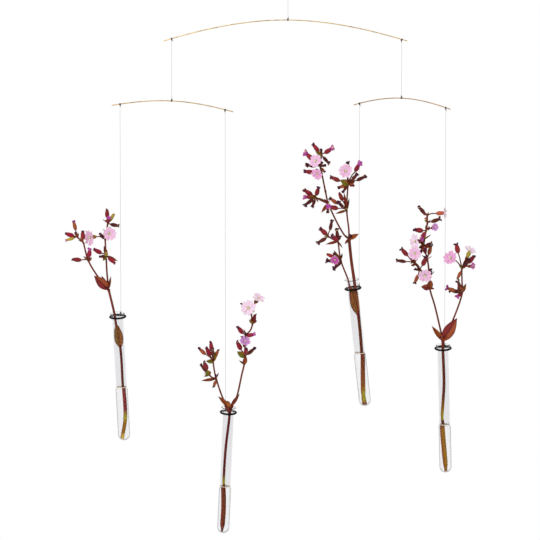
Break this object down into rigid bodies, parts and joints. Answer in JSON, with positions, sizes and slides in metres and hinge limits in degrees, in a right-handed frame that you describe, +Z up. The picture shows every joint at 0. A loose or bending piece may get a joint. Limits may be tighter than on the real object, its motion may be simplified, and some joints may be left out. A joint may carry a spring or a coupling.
{
  "type": "hanging flower mobile",
  "caption": "Hanging mobile: sprung wire arms on threads balance glass tube vases that hang in rubber rings, each with water and a flower sprig.",
  "frame": {"origin": "the place in the thread loop at the top where a ceiling hook bears", "axes": "+Z up, +X to the right along the main arm, +Y to the back"},
  "size_m": [0.5083, 0.1492, 0.7225],
  "materials": {
    "brass_wire": "drawn wire, satin, slightly darkened",
    "thread": "thin grey thread",
    "knot": "dark waxed thread, wound and tied",
    "ring_rubber": "smooth black rubber, semi-gloss",
    "glass": "clear, polished",
    "water": "clear still water",
    "plant": "matte stems, leaves and calyces, dark red with green and brown",
    "petal": "matte pink petals"
  },
  "bodies": {
    "hanger": {"hanging_loop": "thread"},
    "top_thread": {"top_thread": "thread"},
    "main_centre_knot": {"main_arm_centre_knot": "knot"},
    "main_arm": {"main_arm": "brass_wire", "main_arm_left_knot": "knot", "main_arm_right_knot": "knot"},
    "left_drop_thread": {"left_drop_thread": "thread"},
    "left_centre_knot": {"left_arm_centre_knot": "knot"},
    "left_arm": {"left_arm": "brass_wire", "left_arm_left_knot": "knot", "left_arm_right_knot": "knot"},
    "right_drop_thread": {"right_drop_thread": "thread"},
    "right_centre_knot": {"right_arm_centre_knot": "knot"},
    "right_arm": {"right_arm": "brass_wire", "right_arm_left_knot": "knot", "right_arm_right_knot": "knot"},
    "vase_thread_1": {"vase_thread_1": "thread"},
    "ring_knot_1": {"ring_knot_1": "knot"},
    "vase_1": {"hanging_ring_1": "ring_rubber", "glass_vase_1": "glass", "water_1": "water"},
    "sprig_1": {"flower_sprig_1": "plant", "blossom_1_1": "petal", "blossom_1_2": "petal"},
    "vase_thread_2": {"vase_thread_2": "thread"},
    "ring_knot_2": {"ring_knot_2": "knot"},
    "vase_2": {"hanging_ring_2": "ring_rubber", "glass_vase_2": "glass", "water_2": "water"},
    "sprig_2": {"flower_sprig_2": "plant", "blossom_2_1": "petal", "blossom_2_2": "petal", "blossom_2_3": "petal"},
    "vase_thread_3": {"vase_thread_3": "thread"},
    "ring_knot_3": {"ring_knot_3": "knot"},
    "vase_3": {"hanging_ring_3": "ring_rubber", "glass_vase_3": "glass", "water_3": "water"},
    "sprig_3": {"flower_sprig_3": "plant", "blossom_3_1": "petal", "blossom_3_2": "petal", "blossom_3_3": "petal", "blossom_3_4": "petal"},
    "vase_thread_4": {"vase_thread_4": "thread"},
    "ring_knot_4": {"ring_knot_4": "knot"},
    "vase_4": {"hanging_ring_4": "ring_rubber", "glass_vase_4": "glass", "water_4": "water"},
    "sprig_4": {"flower_sprig_4": "plant", "blossom_4_1": "petal", "blossom_4_2": "petal", "blossom_4_3": "petal", "blossom_4_4": "petal", "blossom_4_5": "petal", "blossom_4_6": "petal", "blossom_4_7": "petal", "blossom_4_8": "petal"}
  },
  "joints": [
    {"name": "top_swing", "type": "hinge", "parent": "hanger", "child": "top_thread", "pos_m": [0, 0, -0.024], "axis": [0, 1, 0], "range_deg": [-10, 10]},
    {"name": "main_arm_turn", "type": "hinge", "parent": "top_thread", "child": "main_centre_knot", "pos_m": [0, 0, -0.073], "axis": [0, 0, 1], "continuous": true},
    {"name": "main_arm_tilt", "type": "hinge", "parent": "main_centre_knot", "child": "main_arm", "pos_m": [0, 0, -0.073], "axis": [0, 1, 0], "range_deg": [-10, 10]},
    {"name": "left_drop_swing", "type": "hinge", "parent": "main_arm", "child": "left_drop_thread", "pos_m": [-0.1446, 0, -0.09798], "axis": [0, 1, 0], "range_deg": [-10, 10]},
    {"name": "left_arm_turn", "type": "hinge", "parent": "left_drop_thread", "child": "left_centre_knot", "pos_m": [-0.1446, 0, -0.17393], "axis": [0, 0, 1], "continuous": true},
    {"name": "left_arm_tilt", "type": "hinge", "parent": "left_centre_knot", "child": "left_arm", "pos_m": [-0.1446, 0, -0.17393], "axis": [0, 1, 0], "range_deg": [-12, 12]},
    {"name": "right_drop_swing", "type": "hinge", "parent": "main_arm", "child": "right_drop_thread", "pos_m": [0.14131, 0, -0.09889], "axis": [0, 1, 0], "range_deg": [-10, 10]},
    {"name": "right_arm_turn", "type": "hinge", "parent": "right_drop_thread", "child": "right_centre_knot", "pos_m": [0.14131, 0, -0.17044], "axis": [0, 0, 1], "continuous": true},
    {"name": "right_arm_tilt", "type": "hinge", "parent": "right_centre_knot", "child": "right_arm", "pos_m": [0.14131, 0, -0.17044], "axis": [0.6259, 0.7799, 0], "range_deg": [-12, 12]},
    {"name": "vase_swing_1", "type": "hinge", "parent": "left_arm", "child": "vase_thread_1", "pos_m": [-0.20891, 0, -0.17956], "axis": [0, 1, 0], "range_deg": [-10, 10]},
    {"name": "vase_turn_1", "type": "hinge", "parent": "vase_thread_1", "child": "ring_knot_1", "pos_m": [-0.20891, 0, -0.44281], "axis": [0, 0, 1], "continuous": true},
    {"name": "vase_tilt_1", "type": "hinge", "parent": "ring_knot_1", "child": "vase_1", "pos_m": [-0.20891, 0, -0.44281], "axis": [0.9205, -0.3907, 0], "range_deg": [-3, 12]},
    {"name": "sprig_lift_1", "type": "slide", "parent": "vase_1", "child": "sprig_1", "axis": [-0.0456, -0.1074, 0.9932], "range_m": [0, 0.12], "deforming": ["water_1"]},
    {"name": "vase_swing_2", "type": "hinge", "parent": "left_arm", "child": "vase_thread_2", "pos_m": [-0.07811, 0, -0.18664], "axis": [0, 1, 0], "range_deg": [-10, 10]},
    {"name": "vase_turn_2", "type": "hinge", "parent": "vase_thread_2", "child": "ring_knot_2", "pos_m": [-0.07811, 0, -0.56399], "axis": [0, 0, 1], "continuous": true},
    {"name": "vase_tilt_2", "type": "hinge", "parent": "ring_knot_2", "child": "vase_2", "pos_m": [-0.07811, 0, -0.56399], "axis": [0.9272, 0.3746, 0], "range_deg": [-3, 12]},
    {"name": "sprig_lift_2", "type": "slide", "parent": "vase_2", "child": "sprig_2", "axis": [0.045, -0.1114, 0.9928], "range_m": [0, 0.16], "deforming": ["water_2"]},
    {"name": "vase_swing_3", "type": "hinge", "parent": "right_arm", "child": "vase_thread_3", "pos_m": [0.08979, 0.04142, -0.18306], "axis": [0.6259, 0.7799, 0], "range_deg": [-10, 10]},
    {"name": "vase_turn_3", "type": "hinge", "parent": "vase_thread_3", "child": "ring_knot_3", "pos_m": [0.08979, 0.04142, -0.41341], "axis": [0, 0, 1], "continuous": true},
    {"name": "vase_tilt_3", "type": "hinge", "parent": "ring_knot_3", "child": "vase_3", "pos_m": [0.08979, 0.04142, -0.41341], "axis": [0.5878, -0.809, 0], "range_deg": [-3, 12]},
    {"name": "sprig_lift_3", "type": "slide", "parent": "vase_3", "child": "sprig_3", "axis": [-0.1084, -0.0788, 0.991], "range_m": [0, 0.04], "deforming": ["water_3"]},
    {"name": "vase_swing_4", "type": "hinge", "parent": "right_arm", "child": "vase_thread_4", "pos_m": [0.19489, -0.04308, -0.17957], "axis": [0.6259, 0.7799, 0], "range_deg": [-10, 10]},
    {"name": "vase_turn_4", "type": "hinge", "parent": "vase_thread_4", "child": "ring_knot_4", "pos_m": [0.19489, -0.04308, -0.47581], "axis": [0, 0, 1], "continuous": true},
    {"name": "vase_tilt_4", "type": "hinge", "parent": "ring_knot_4", "child": "vase_4", "pos_m": [0.19489, -0.04308, -0.47581], "axis": [0.9703, -0.2419, 0], "range_deg": [-3, 12]},
    {"name": "sprig_lift_4", "type": "slide", "parent": "vase_4", "child": "sprig_4", "axis": [-0.0303, -0.1216, 0.9921], "range_m": [0, 0.1], "deforming": ["water_4"]}
  ]
}
